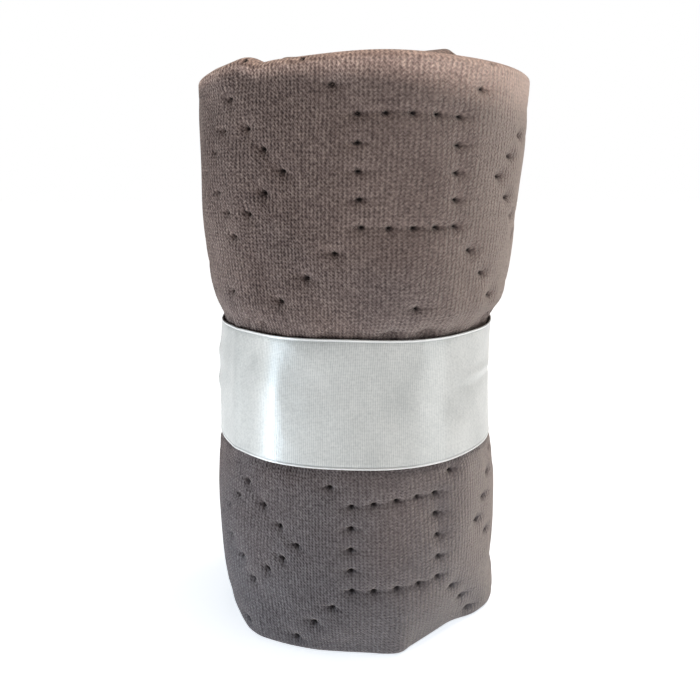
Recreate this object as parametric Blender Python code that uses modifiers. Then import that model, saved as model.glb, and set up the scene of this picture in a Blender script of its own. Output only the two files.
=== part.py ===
"""A quilted velour pet mat, folded in thirds, rolled up, stood on its end and held by a satin ribbon.

Two pieces, in metres, with +Z up and the floor at Z = 0:
  mat_roll     the wound mat: its wall with the quilting's dots, and the turns at both ends
  ribbon_band  the ribbon, a strip whose ends lap at the back

The front of the roll faces -Y. Azimuth 0 is +X, 90 degrees is +Y, at the back.
"""

import math

import bmesh
import bpy
from mathutils.geometry import convex_hull_2d

MM = 0.001

# The mat, about 700 x 1100 mm, is folded in thirds along its length and wound from the core outwards.
COLUMNS_PER_TURN = 45
TURNS = 4 + 42 / COLUMNS_PER_TURN
CORE_TURNS = 0.5
LOOSE_EDGE_DEG = 103
DEPTH_RATIO = 1.07
# The axis stands where it centres the outline, wider on the side where the last turn ends, on the origin.
AXIS_X = -5.67 * MM
AXIS_Y = -2.09 * MM

# The outer turn thins towards its loose edge, over this share of a turn and by this share of its thickness.
NOSE_TURN = 0.09
NOSE_THINNING = 0.36

# The wall, from the floor up, in millimetres: half its width across the front, and its sideways lean.
WALL_SECTIONS = (
    # height, half_width, lean
    (0, 61.6, 1.2),
    (15, 62.8, 0.6),
    (45, 63.0, 0.1),
    (68, 62.0, -0.2),
    (79, 60.4, -0.6),
    (88, 58.6, -0.8),
    (106, 59.0, -0.9),
    (125, 57.8, 0.0),
    (132, 59.0, 0.6),
    (139, 62.4, 1.0),
    (150, 64.6, 0.9),
    (170, 66.4, 1.0),
    (200, 67.6, 1.9),
    (232, 68.4, 2.8),
)

# Bulges and hollows of the wall, in degrees and millimetres.
WALL_LUMPS = (
    # azimuth, height, azimuth_reach, height_reach, bulge
    (-75, 0, 9, 20, 1.8),
    (-46, 0, 15, 26, -3.0),
    (-14, 6, 13, 9, 1.8),
    (2, 19, 22, 5, -1.4),
    (-168, 2, 24, 22, -1.4),
    (-158, 74, 16, 14, -1.2),
    (-120, 40, 14, 24, 1.0),
    (-60, 60, 14, 12, -1.0),
    (-132, 196, 18, 22, 1.0),
    (-150, 158, 16, 14, -1.0),
    (-96, 214, 16, 10, -1.2),
    (-20, 206, 16, 22, 0.8),
    (64, 38, 18, 26, 1.4),
    (150, 190, 20, 30, 1.6),
    (118, 30, 16, 22, -1.2),
)

# Height of the outer turn's upper rim round the roll, and where its lower rim is lifted off the floor.
UPPER_RIM = (
    # azimuth, height
    (-180, 227.6),
    (-152, 229.4),
    (-134, 231.4),
    (-118, 229.4),
    (-82, 232.0),
    (-52, 231.4),
    (-20, 230.2),
    (20, 229.2),
    (70, 230.4),
    (125, 228.6),
    (180, 227.6),
)
LOWER_RIM_LIFTS = (
    # azimuth, azimuth_reach, lift
    (-46, 12, 2.2),
    (150, 14, 1.6),
)

# The inner turns stand higher than the outer one, by this much at the core.
CORE_RISE = 5.0 * MM
RISE_STARTS_TURNS_IN = 1.15
RISE_OVER_TURNS = 2.4
RIM_WAVE = 0.8 * MM
RIM_WAVES_PER_TURN = 2.3
RIM_TOUCHES_BELOW = 0.25

# The folded rims: how far the crown rounds down to the wall, and the groove between one turn and the next.
UPPER_CROWN_DROP = 4.0 * MM
LOWER_CROWN_DROP = 2.8 * MM
GROOVE_DEPTH = 9.0 * MM
UPPER_CROWN = (
    # across, drop as a share of the crown
    (0.15, 0.33),
    (0.50, 0.0),
    (0.85, 0.33),
)
LOWER_CROWN = (
    (0.13, 0.35),
    (0.30, 0.0),
    (0.70, 0.0),
    (0.87, 0.35),
)

# The quilting: spot welds on a square grid, one grid step for each column and row of the wall.
ROWS_BELOW, ROWS_UNDER_RIBBON, ROWS_ABOVE = 9, 6, 10
STEP_ABOVE = 9.9 * MM
LEAST_STEP = 3.0 * MM
WALL_ROWS = ROWS_BELOW + ROWS_UNDER_RIBBON + ROWS_ABOVE
REPEAT = 16
HALF_REPEAT = REPEAT // 2
SQUARE_CENTRE_COLUMN = 22
SQUARE_CENTRE_ROW = 5
SQUARE_HALF = 2
DIAMOND_HALF = 3
DIAGONAL_STEPS = (3, 6)
DOT_RADIUS = 2.3 * MM
DOT_DEPTH = 1.7 * MM

# The ribbon.
RIBBON_WIDTH = 50 * MM
RIBBON_LOW = 81.5 * MM
RIBBON_HIGH = RIBBON_LOW + RIBBON_WIDTH
RIBBON_THICKNESS = 1.0 * MM
LAP_START_COLUMN = 38
LAP_COLUMNS = 3
CLEARANCE = 0.35 * MM


def eased(share):
    """0 to 1 with level ends, as share goes from 0 to 1."""
    share = min(max(share, 0.0), 1.0)
    return share * share * (3 - 2 * share)


def read_row(rows, column, at):
    """A table's column at a place between its rows, on a smooth curve through them (cubic Hermite)."""
    last = len(rows) - 1
    at = min(max(at, rows[0][0]), rows[last][0])
    low = max(k for k in range(last) if rows[k][0] <= at)
    span = rows[low + 1][0] - rows[low][0]
    t = (at - rows[low][0]) / span

    def slope(k):
        before, after = max(k - 1, 0), min(k + 1, last)
        return (rows[after][column] - rows[before][column]) / (rows[after][0] - rows[before][0])

    start, end = rows[low][column], rows[low + 1][column]
    return (
        (2 * t**3 - 3 * t**2 + 1) * start
        + (t**3 - 2 * t**2 + t) * span * slope(low)
        + (3 * t**2 - 2 * t**3) * end
        + (t**3 - t**2) * span * slope(low + 1)
    )


def turned(degrees):
    """An angle brought between -180 and 180 degrees."""
    return (degrees + 180) % 360 - 180


def lump(azimuth, height):
    """How far the wall bulges at a place, in metres."""
    total = 0.0
    for at, level, azimuth_reach, height_reach, bulge in WALL_LUMPS:
        away = turned(azimuth - at) / azimuth_reach
        above = (height / MM - level) / height_reach
        total += bulge * math.exp(-away * away - above * above)
    return total * MM


def azimuth_of(turn):
    """The azimuth, in degrees, of a place along the winding, counted in turns from the core."""
    return LOOSE_EDGE_DEG + 360 * (turn - TURNS)


def place(turn, across, height):
    """A point of the wound mat: how many turns along, how far across the folded stack, how high."""
    azimuth = azimuth_of(turn)
    thinning = NOSE_THINNING * eased((turn - TURNS + NOSE_TURN) / NOSE_TURN)
    share = (turn + across * (1 - thinning)) / (TURNS + CORE_TURNS)
    half_width = read_row(WALL_SECTIONS, 1, height / MM) * MM
    lean = read_row(WALL_SECTIONS, 2, height / MM) * MM
    bulge = lump(azimuth, height) * min(share, 1.0) ** 3
    angle = math.radians(azimuth)
    reach = half_width * share + bulge
    return (AXIS_X + lean + reach * math.cos(angle), AXIS_Y + DEPTH_RATIO * reach * math.sin(angle), height)


def rise(turn):
    """How far the turn stands above the outer one, at both of its ends."""
    inward = (TURNS - RISE_STARTS_TURNS_IN - turn) / RISE_OVER_TURNS
    wave = RIM_WAVE * eased(inward * 2) * math.sin(2 * math.pi * RIM_WAVES_PER_TURN * turn)
    return CORE_RISE * eased(inward) + wave


def upper_rim(turn):
    """Height of the top of the turn's crown at the upper end."""
    azimuth = turned(azimuth_of(turn))
    return read_row(UPPER_RIM, 1, azimuth) * MM + rise(turn)


def lower_rim(turn):
    """Height of the turn's crown above the floor at the lower end."""
    azimuth = azimuth_of(turn)
    lift = sum(
        high * math.exp(-((turned(azimuth - at) / reach) ** 2)) for at, reach, high in LOWER_RIM_LIFTS
    )
    return max(lift - RIM_TOUCHES_BELOW, 0.0) * MM + max(rise(turn), 0.0)


def is_dot(column, row):
    """True where the quilting has a spot weld: on squares, on diamonds between them, and on diagonals."""
    across = abs((column + HALF_REPEAT) % REPEAT - HALF_REPEAT)
    up = abs((row + HALF_REPEAT) % REPEAT - HALF_REPEAT)
    square = max(across, up) == SQUARE_HALF
    diagonal = across == up and DIAGONAL_STEPS[0] <= across <= DIAGONAL_STEPS[1]
    from_centres = (
        (HALF_REPEAT - across) + up,
        across + (HALF_REPEAT - up),
        (HALF_REPEAT - across) + (HALF_REPEAT - up),
    )
    return square or diagonal or DIAMOND_HALF in from_centres


def row_height(row, low, high):
    """Height of a row of the wall, between the wall's two ends. A row lies at each edge of the ribbon."""
    if row <= ROWS_BELOW:
        return low + (RIBBON_LOW - low) * row / ROWS_BELOW
    if row <= ROWS_BELOW + ROWS_UNDER_RIBBON:
        return RIBBON_LOW + RIBBON_WIDTH * (row - ROWS_BELOW) / ROWS_UNDER_RIBBON
    regular = RIBBON_HIGH + STEP_ABOVE * (row - ROWS_BELOW - ROWS_UNDER_RIBBON)
    return min(regular, high - LEAST_STEP * (WALL_ROWS - row))


def add_end(mesh, turns, wall_edge, crown, crown_drop, rim, towards_wall):
    """One end of the roll: the folded crown of each turn, a groove between turns, and a fan over the core.

    wall_edge holds the wall's vertices at this end. towards_wall is -1 at the top, where the wall lies below
    the crown, and 1 at the bottom. Returns the crown's vertices at the loose edge, from inside to outside.
    """
    last = len(turns) - 1
    first_outer = last - COLUMNS_PER_TURN
    seams = []
    crowns = []
    for k, turn in enumerate(turns):
        top = rim(turn)
        if k >= first_outer:
            seams.append(wall_edge[k - first_outer])
        else:
            seams.append(mesh.verts.new(place(turn, 1.0, top + towards_wall * GROOVE_DEPTH)))
        crowns.append(
            [
                mesh.verts.new(place(turn, across, top + towards_wall * drop * crown_drop))
                for across, drop in crown
            ]
        )
    core = [
        mesh.verts.new(place(turns[k], 0.0, rim(turns[k]) + towards_wall * GROOVE_DEPTH))
        for k in range(COLUMNS_PER_TURN)
    ]
    inner = core + seams[: last + 1 - COLUMNS_PER_TURN]

    def line(k):
        return [inner[k], *crowns[k], seams[k]]

    for k in range(last):
        here, after = line(k), line(k + 1)
        for j in range(len(here) - 1):
            mesh.faces.new((here[j], here[j + 1], after[j + 1], after[j]))
    for k in range(1, COLUMNS_PER_TURN):
        mesh.faces.new((inner[0], inner[k], inner[k + 1]))
    mesh.faces.new(line(0))
    return line(last)


def add_dots(mesh, grid):
    """Presses a spot weld into the wall at each dot of the quilting: a small pit under the grid's vertex."""
    dots = [
        grid[k][j]
        for k in range(1, COLUMNS_PER_TURN)
        for j in range(1, WALL_ROWS)
        if is_dot(COLUMNS_PER_TURN - k - SQUARE_CENTRE_COLUMN, j - SQUARE_CENTRE_ROW)
    ]
    cut = bmesh.ops.bevel(mesh, geom=dots, offset=DOT_RADIUS, segments=1, affect="VERTICES")
    corners = set(cut["verts"])
    openings = [face for face in cut["faces"] if corners.issuperset(face.verts)]
    poked = bmesh.ops.poke(mesh, faces=openings)
    mesh.normal_update()
    for centre in poked["verts"]:
        centre.co -= centre.normal * DOT_DEPTH


def build_roll(collection):
    """The wound mat as one closed body."""
    mesh = bmesh.new()
    count = round(TURNS * COLUMNS_PER_TURN)
    turns = [k / COLUMNS_PER_TURN for k in range(count + 1)]
    grid = []
    for k in range(COLUMNS_PER_TURN + 1):
        turn = turns[count - COLUMNS_PER_TURN + k]
        low = lower_rim(turn) + (LOWER_CROWN_DROP if k else GROOVE_DEPTH)
        high = upper_rim(turn) - (UPPER_CROWN_DROP if k else GROOVE_DEPTH)
        grid.append(
            [
                mesh.verts.new(place(turn, 1.0, row_height(j, low, high)))
                for j in range(WALL_ROWS + 1)
            ]
        )
    for k in range(COLUMNS_PER_TURN):
        for j in range(WALL_ROWS):
            mesh.faces.new((grid[k][j], grid[k + 1][j], grid[k + 1][j + 1], grid[k][j + 1]))
    first, last = grid[0], grid[-1]
    for j in range(WALL_ROWS):
        mesh.faces.new((last[j], first[j], first[j + 1], last[j + 1]))
    tops, feet = [column[-1] for column in grid], [column[0] for column in grid]
    upper_end = add_end(mesh, turns, tops, UPPER_CROWN, UPPER_CROWN_DROP, upper_rim, -1)
    lower_end = add_end(mesh, turns, feet, LOWER_CROWN, LOWER_CROWN_DROP, lower_rim, 1)
    mesh.faces.new(upper_end)
    mesh.faces.new(lower_end)
    bmesh.ops.recalc_face_normals(mesh, faces=mesh.faces)
    add_dots(mesh, grid)
    bmesh.ops.triangulate(mesh, faces=mesh.faces)
    data = bpy.data.meshes.new("mat_roll")
    mesh.to_mesh(data)
    mesh.free()
    roll = bpy.data.objects.new("mat_roll", data)
    collection.objects.link(roll)
    return roll


def taut_reach(height):
    """Reaches of a tape pulled tight round the wall at a height, one for each column from the loose edge.

    A reach is measured as in place(), with the depth at the width's scale, where the wall is near round.
    """
    lean = read_row(WALL_SECTIONS, 2, height / MM) * MM
    outline = []
    for k in range(COLUMNS_PER_TURN + 1):
        x, y, _ = place(TURNS - 1 + k / COLUMNS_PER_TURN, 1.0, height)
        outline.append((x - AXIS_X - lean, (y - AXIS_Y) / DEPTH_RATIO))
    hull = [outline[k] for k in convex_hull_2d(outline)]
    reaches = []
    for k in range(COLUMNS_PER_TURN):
        angle = math.radians(LOOSE_EDGE_DEG + 360 * k / COLUMNS_PER_TURN)
        across = (-math.sin(angle), math.cos(angle))
        along = (math.cos(angle), math.sin(angle))
        best = 0.0
        for (ax, ay), (bx, by) in zip(hull, hull[1:] + hull[:1]):
            side_a = ax * across[0] + ay * across[1]
            side_b = bx * across[0] + by * across[1]
            if side_a * side_b <= 0 and side_a != side_b:
                t = side_a / (side_a - side_b)
                best = max(best, (ax + (bx - ax) * t) * along[0] + (ay + (by - ay) * t) * along[1])
        reaches.append(best)
    return reaches


def build_ribbon(collection):
    """The ribbon: a strip pulled tight round the waist, one end lapped over the other, made 1 mm thick."""
    steps = COLUMNS_PER_TURN + LAP_COLUMNS
    climb = RIBBON_THICKNESS + CLEARANCE
    mesh = bmesh.new()
    rows = []
    for j in range(ROWS_UNDER_RIBBON + 1):
        level = RIBBON_LOW + RIBBON_WIDTH * j / ROWS_UNDER_RIBBON
        reaches = taut_reach(level)
        lean = read_row(WALL_SECTIONS, 2, level / MM) * MM
        row = []
        for k in range(steps + 1):
            column = (LAP_START_COLUMN + k) % COLUMNS_PER_TURN
            angle = math.radians(LOOSE_EDGE_DEG + 360 * column / COLUMNS_PER_TURN)
            reach = reaches[column] + CLEARANCE + (climb if k >= COLUMNS_PER_TURN - 1 else 0.0)
            x = AXIS_X + lean + reach * math.cos(angle)
            row.append(mesh.verts.new((x, AXIS_Y + DEPTH_RATIO * reach * math.sin(angle), level)))
        rows.append(row)
    for low, high in zip(rows, rows[1:]):
        for k in range(steps):
            mesh.faces.new((low[k], low[k + 1], high[k + 1], high[k]))
    data = bpy.data.meshes.new("ribbon_band")
    mesh.to_mesh(data)
    mesh.free()
    ribbon = bpy.data.objects.new("ribbon_band", data)
    collection.objects.link(ribbon)
    wall = ribbon.modifiers.new("Thickness", "SOLIDIFY")
    wall.thickness = RIBBON_THICKNESS
    wall.offset = 1.0
    return ribbon


def finish_of(name, colour, roughness, sheen):
    """A Principled material of one plain colour, with the soft edge light of cloth."""
    material = bpy.data.materials.new(name)
    material.use_nodes = True
    shader = material.node_tree.nodes["Principled BSDF"]
    shader.inputs["Base Color"].default_value = (*colour, 1.0)
    shader.inputs["Roughness"].default_value = roughness
    shader.inputs["Metallic"].default_value = 0.0
    shader.inputs["Sheen Weight"].default_value = sheen
    return material


def main():
    for old in list(bpy.data.objects):
        bpy.data.objects.remove(old)
    collection = bpy.data.collections.new("rolled_pet_mat")
    bpy.context.scene.collection.children.link(collection)
    roll = build_roll(collection)
    roll.data.materials.append(finish_of("taupe_velour", (0.15, 0.125, 0.12), 0.95, 0.5))
    roll.data.shade_smooth()
    roll.data.set_sharp_from_angle(angle=math.radians(40))
    ribbon = build_ribbon(collection)
    ribbon.data.materials.append(finish_of("white_satin", (0.72, 0.75, 0.76), 0.35, 0.2))
    ribbon.data.shade_smooth()


main()
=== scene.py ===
"""A quilted velour pet mat, rolled up and stood on its end, with a wide white satin ribbon round its waist.

The mat is one sheet of cloth, folded in thirds and wound up. Its shape is worked out in three steps:
  profile   the folded sheet cut across: height, and place across the stack from 0, inside, to 1, outside
  place     where a point of the stack lies, given its turns from the core, its place across, and its height
  relief    how far the outer face stands in or out of the plain wall: spot welds, puckers and soft folds
The front of the roll faces -Y. Azimuth 0 is +X, and 90 degrees is +Y, at the back. Lengths are in metres.
"""

import bpy
import numpy as np
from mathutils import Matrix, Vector


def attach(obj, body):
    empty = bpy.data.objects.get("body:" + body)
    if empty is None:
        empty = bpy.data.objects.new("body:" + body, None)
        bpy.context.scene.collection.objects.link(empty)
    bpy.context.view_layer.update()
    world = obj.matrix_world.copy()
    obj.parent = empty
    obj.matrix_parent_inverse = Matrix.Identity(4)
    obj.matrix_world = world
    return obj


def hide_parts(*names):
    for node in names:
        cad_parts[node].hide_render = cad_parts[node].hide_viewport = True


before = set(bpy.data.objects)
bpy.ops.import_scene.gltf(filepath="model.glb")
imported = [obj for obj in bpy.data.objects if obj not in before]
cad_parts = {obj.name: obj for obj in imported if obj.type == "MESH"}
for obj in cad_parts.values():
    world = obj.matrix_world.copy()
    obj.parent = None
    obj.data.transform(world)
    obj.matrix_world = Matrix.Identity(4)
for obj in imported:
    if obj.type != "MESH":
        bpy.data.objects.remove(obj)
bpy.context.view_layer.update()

MM = 0.001

# The camera of the photograph: where it stands, how far it looks down, and its lens on a 36 mm frame.
CAMERA_PLACE = (-5.77 * MM, -352.09 * MM, 188.5 * MM)
CAMERA_DOWN_DEG = 12.2
CAMERA_LENS_MM = 797 / 700 * 36

# The winding, as the solid has it.
COLUMNS_PER_TURN = 45
TURNS = 4 + 42 / COLUMNS_PER_TURN
FIRST_OUTER_TURN = TURNS - 1
CORE_TURNS = 0.5
LOOSE_EDGE_DEG = 103
DEPTH_RATIO = 1.07
AXIS_X = -5.67 * MM
AXIS_Y = -2.09 * MM
NOSE_TURN = 0.09
NOSE_THINNING = 0.36

# Radii that turn angles into lengths: at the waist, at the loose edge and the ribbon, and on the face.
WAIST_RADIUS = 60 * MM
EDGE_RADIUS = 62 * MM
FACE_RADIUS = 64 * MM

# The wall, from the floor up, in millimetres.
WALL_SECTIONS = np.array(
    [
        # height, half_width, lean
        (0, 61.6, 1.2),
        (15, 62.8, 0.6),
        (45, 63.0, 0.1),
        (68, 62.0, -0.2),
        (79, 60.4, -0.6),
        (88, 58.6, -0.8),
        (106, 59.0, -0.9),
        (125, 57.8, 0.0),
        (132, 59.0, 0.6),
        (139, 62.4, 1.0),
        (150, 64.6, 0.9),
        (170, 66.4, 1.0),
        (200, 67.6, 1.9),
        (232, 68.4, 2.8),
    ]
)

# Bulges and hollows of the wall, in degrees and millimetres.
WALL_LUMPS = (
    # azimuth, height, azimuth_reach, height_reach, bulge
    (-75, 0, 9, 20, 1.8),
    (-46, 0, 15, 26, -3.0),
    (-14, 6, 13, 9, 1.8),
    (2, 19, 22, 5, -1.4),
    (-168, 2, 24, 22, -1.4),
    (-158, 74, 16, 14, -1.2),
    (-120, 40, 14, 24, 1.0),
    (-60, 60, 14, 12, -1.0),
    (-132, 196, 18, 22, 1.0),
    (-150, 158, 16, 14, -1.0),
    (-96, 214, 16, 10, -1.2),
    (-20, 206, 16, 22, 0.8),
    (64, 38, 18, 26, 1.4),
    (150, 190, 20, 30, 1.6),
    (118, 30, 16, 22, -1.2),
)

# Soft folds of the outer face that the solid leaves out, in degrees and millimetres.
SOFT_FOLDS = (
    # azimuth, height, azimuth_reach, height_reach, bulge
    (-128, 139, 12, 5, 0.9),
    (-104, 136, 9, 4, 0.7),
    (-60, 137, 12, 4, 0.8),
    (-30, 140, 12, 5, 0.9),
    (-140, 76, 8, 4, -0.8),
    (-112, 74, 12, 4, 0.6),
    (-48, 73, 10, 4, 0.6),
    (-28, 70, 10, 6, -0.5),
    (-66, 222, 12, 6, -1.1),
    (-144, 214, 8, 9, -1.4),
    (-122, 18, 10, 8, -0.9),
    (-100, 12, 8, 6, 0.6),
    (-58, 22, 7, 10, -0.7),
    (-138, 222, 7, 4, 0.9),
    (-126, 223, 5, 4, -1.0),
    (-108, 176, 9, 16, -0.5),
    (-142, 178, 9, 12, -0.6),
)

# Heights of the upper rim, and lifts of the lower one off the floor, in degrees and millimetres.
UPPER_RIM = np.array(
    [
        # azimuth, height
        (-180, 227.6),
        (-152, 228.2),
        (-134, 229.9),
        (-118, 228.6),
        (-82, 230.8),
        (-52, 229.9),
        (-20, 229.0),
        (20, 229.2),
        (70, 230.4),
        (125, 228.6),
        (180, 227.6),
    ]
)
LOWER_RIM_LIFTS = (
    # azimuth, azimuth_reach, lift
    (-46, 12, 2.2),
    (150, 14, 1.6),
)
RIM_TOUCHES_BELOW = 0.25
CORE_RISE = 5.0 * MM
RISE_STARTS_TURNS_IN = 1.15
RISE_OVER_TURNS = 2.4
RIM_WAVE = 0.8 * MM
RIM_WAVES_PER_TURN = 2.3

# The sheet of cloth, and how it lies in the folded stack.
STACK_SHARE = 0.27
UPPER_CROWN_DROP = 3.8 * MM
LOWER_CROWN_DROP = 3.0 * MM
INNER_FOLD_DEPTH = 3.2 * MM
INNER_FOLD_ROUND = 2.2 * MM
MIDDLE_EDGE_BELOW_RIM = 9.0 * MM
INSIDE_EDGE_HEIGHT = 3.5 * MM
HEM_ROUND = 1.4 * MM
HEM_THINNEST = 0.55
HALF_MIDDLE = 0.18

# The quilting: spot welds on a square grid, one step for each column of the winding and each row of the wall.
ROWS_BELOW, ROWS_UNDER_RIBBON, ROWS_ABOVE = 9, 6, 10
WALL_ROWS = ROWS_BELOW + ROWS_UNDER_RIBBON + ROWS_ABOVE
STEP_ABOVE = 9.9 * MM
LEAST_STEP = 3.0 * MM
REPEAT = 16
HALF_REPEAT = REPEAT // 2
SQUARE_CENTRE_COLUMN = 23
SQUARE_CENTRE_ROW = 5
SQUARE_HALF = 2
DIAMOND_HALF = 3
DIAGONAL_STEPS = (3, 6)
MISSING_WELD = (23, 0)
FIRST_ROW, LAST_ROW = -0.35, WALL_ROWS + 0.25
FOOT, HEAD = 3.0 * MM, 1.0 * MM

# Lifts of the upper rim on the outer turn and the two turns inside it, in degrees and millimetres.
RIM_LUMPS = (
    # azimuth, turns_in, azimuth_reach, lift
    (-129, 0, 3.5, 0.8),
    (-122.5, 0, 3.5, -0.7),
    (-139, 0, 5, -0.4),
    (-55, 1, 10, 4.3),
    (-68, 1, 2.4, 1.6),
    (-60, 2, 12, 2.0),
)

# Welds that lie on the crown of the upper rim, in degrees and millimetres.
RIM_WELDS = (
    # azimuth, height
    (-127.5, 228.6),
    (-106.5, 227.6),
    (-45.5, 227.8),
)
RIM_WELD_RADIUS = 0.9 * MM

# The foot's outline at the front, in or out of the plain wall, in degrees and millimetres.
FOOT_SHAPE = np.array(
    [
        # azimuth, bulge
        (-180, -0.4),
        (-160, -1.0),
        (-149, -0.8),
        (-143, -0.2),
        (-136, 0.8),
        (-130, 0.6),
        (-125, -0.4),
        (-118, -1.5),
        (-108, -2.7),
        (-96, -3.7),
        (-84, -3.6),
        (-77, -3.0),
        (-71, -2.3),
        (-66, -3.8),
        (-60, -4.2),
        (-48, -3.0),
        (-37, -3.1),
        (-28, -1.4),
        (-18, 0.0),
        (60, 0.0),
        (150, 0.0),
        (180, -0.4),
    ]
)
FOOT_SHAPE_HEIGHT = 13 * MM

# How the winding has stretched the grid round a few of its places, in grid steps.
STRETCH_REACH = 4.5
STRETCHES = (
    # column, row, column_shift, for_each_column, for_each_row, row_shift, for_each_column, for_each_row
    (15, 21, 0.91, -0.27, -0.08, 0.01, 0.02, -0.33),
    (31, 21, -1.28, -0.18, -0.07, -0.20, 0.03, -0.29),
    (15, 5, 0.95, -0.03, -0.08, 0.01, 0.02, -0.29),
    (31, 5, -0.24, -0.02, -0.20, 0.08, 0.12, -0.06),
    (23, 5, -0.02, 0.13, 0.02, 0.13, 0.07, 0.10),
    (19, 15, -0.13, 0.37, 0.02, 0.00, 0.01, -0.05),
)

# The relief of the outer face: welds, the cloth round them, and what the ribbon does to it, with the reach of
# the painted highlight along the upper fold.
BORDER_STEPS = 3
WELD_WINDOW = 12
WELD_DEPTH = 1.7 * MM
WELD_HALF_LENGTH = 1.15 * MM
WELD_HALF_HEIGHT = 0.7 * MM
DIMPLE_DEPTH = 0.8 * MM
DIMPLE_RADIUS = 3.9 * MM
PUCKER_DEPTH = 0.75 * MM
PUCKER_HALF_LENGTH = 5.0 * MM
PUCKER_HALF_HEIGHT = 1.0 * MM
PUCKER_SLOPE = 0.75
SLOPED_AZIMUTH, SLOPED_REACH = -122, 16
FADED_AZIMUTH, FADED_REACH, FADING = -154, 15, 0.7
# Painted highlight along the upper fold: how far down it reaches at the left and the right, where it reaches
# farthest and how wide, and its share on the inner turns.
PAINTED_RIM_HIGHLIGHT_LEFT, PAINTED_RIM_HIGHLIGHT_RIGHT = 6 * MM, 20 * MM
PAINTED_RIM_HIGHLIGHT_AZIMUTH, PAINTED_RIM_HIGHLIGHT_REACH = -20, 60
INNER_RIM_HIGHLIGHT = 0.3
PRESSED_UNDER_RIBBON = 0.8 * MM
EDGE_PRESSED = 2.4 * MM
EDGE_WAVE = 0.7 * MM
GATHER_DEPTH = 0.35 * MM
GATHERS_PER_TURN = 31
GATHER_REACH = 9 * MM
BESIDE_RIBBON = 9 * MM
PRESSED_BELOW = 2.5 * MM
PRESSED_FADE = 2 * MM

# Bands across the stack where things fade in, as the start and the width of each.
RELIEF_BAND = (0.55, 0.4)
FOOT_BAND = (0.1, 0.6)
EDGE_BAND = (0.0, 0.6)
RIM_WELD_BAND = (0.7, 0.2)

# Steps of the quilting over which the relief starts and ends along the outer turn.
RELIEF_STARTS_OVER = 2
RELIEF_ENDS_OVER = 1.5

# Waves of the loose edge, each with its share, its climb in mm and its phase. The shares add to the crest.
EDGE_WAVE_PARTS = ((1.0, 21, 0.7), (0.5, 8.3, 2.0))
EDGE_WAVE_CREST = 1.5

# Slow waves of the outer face, in mm.
SLOW_WAVES = (
    # depth, waves_per_turn, height_for_each_radian, phase
    (0.28, 5, 19, 0.0),
    (0.22, 11, -13, 1.7),
)
QUICK_WAVE = 0.12
CALMER_AT_RIMS = 0.35
CALM_BELOW, CALM_ABOVE = 14 * MM, 8 * MM

# The mesh lines lie close together where the welds are: shares of a step.
FINE_STEPS = np.array((0.0, 0.06, 0.16, 0.37, 0.63, 0.84, 0.94))
COARSE_STEPS = np.array((0.0, 0.5))
INNER_COLUMNS_PER_TURN = 30

# The ribbon.
RIBBON_WIDTH = 50 * MM
RIBBON_LOW = 81.5 * MM
RIBBON_HIGH = RIBBON_LOW + RIBBON_WIDTH
RIBBON_THICKNESS = 0.4 * MM
RIBBON_GAP = 0.35 * MM
RIBBON_TILT = -0.008
RIBBON_DROP = 1.7 * MM
RIBBON_START_DEG = 48
RIBBON_LAP_DEG = 24
LAP_CLIMB_DEG, LAP_CLIMB_OVER_DEG = 355, 6
CHORD_DEG = 60
RIBBON_COLUMNS = 385
RIBBON_ROWS = 40
RIBBON_LEVELS = 7
# Waves of the ribbon's height, each with its depth in mm, its number to a turn and its phase.
RIBBON_SWAY = ((0.35, 3, 0.6), (0.2, 7, 0.0))
# Ripples of its face, each with its depth in mm, its number to a turn and its slant over the width.
RIBBON_RIPPLES = ((0.07, 7, 3), (0.05, 13, -5))
FINE_RIPPLE = 0.03 * MM
SELVEDGE_WIDTH = 0.9 * MM
SELVEDGE_PROUD = 0.16 * MM
SELVEDGE_GROOVE = 0.10 * MM
RIBBON_CREASES = (
    # azimuth, height, azimuth_reach, height_reach, bulge
    (-166, 116, 7, 4, 0.8),
    (-168, 103, 8, 3, 0.7),
    (-20, 107, 16, 1.8, -0.45),
    (-24, 111, 14, 2.0, 0.5),
    (-142, 106, 4.0, 60, 0.6),
    (-120, 106, 6.0, 60, 0.25),
    (-52, 98, 4.0, 22, 0.3),
    (-124, 106, 9, 24, 0.35),
    (-62, 104, 12, 20, 0.35),
    (-40, 90, 10, 6, 0.25),
    (-92, 112, 20, 8, -0.15),
    (-98, 92, 5, 6, -0.22),
    (-106, 124, 9, 9, 0.22),
    (-70, 96, 5, 14, -0.2),
    (-48, 118, 7, 12, 0.22),
    (-136, 95, 5, 12, -0.2),
)


def eased(share):
    """0 to 1 with level ends, as share goes from 0 to 1: the cubic 3s^2 - 2s^3."""
    share = np.clip(share, 0.0, 1.0)
    return share * share * (3 - 2 * share)


def turned(degrees):
    """Angles brought between -180 and 180 degrees."""
    return (degrees + 180) % 360 - 180


def read_column(rows, column, at):
    """A table's column at places between its rows, on a cubic Hermite curve through them."""
    places, values = rows[:, 0], rows[:, column]
    slopes = np.gradient(values)
    slopes[1:-1] = (values[2:] - values[:-2]) / (places[2:] - places[:-2])
    slopes[[0, -1]] = np.diff(values)[[0, -1]] / np.diff(places)[[0, -1]]
    at = np.clip(at, places[0], places[-1])
    low = np.clip(np.searchsorted(places, at, side="right") - 1, 0, len(places) - 2)
    span = places[low + 1] - places[low]
    t = (at - places[low]) / span
    return (
        (2 * t**3 - 3 * t**2 + 1) * values[low]
        + (t**3 - 2 * t**2 + t) * span * slopes[low]
        + (3 * t**2 - 2 * t**3) * values[low + 1]
        + (t**3 - t**2) * span * slopes[low + 1]
    )


def lumps(rows, azimuth, height):
    """The sum of a table's bulges, in metres: each is a bell, exp(-a^2 - h^2) of its two distances."""
    total = np.zeros(np.broadcast(azimuth, height).shape)
    for at, level, azimuth_reach, height_reach, bulge in rows:
        away = turned(azimuth - at) / azimuth_reach
        above = (height / MM - level) / height_reach
        total += bulge * np.exp(-away * away - above * above)
    return total * MM


def azimuth_of(turn):
    """The azimuth, in degrees, of places along the winding, counted in turns from the core."""
    return LOOSE_EDGE_DEG + 360 * (turn - TURNS)


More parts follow.
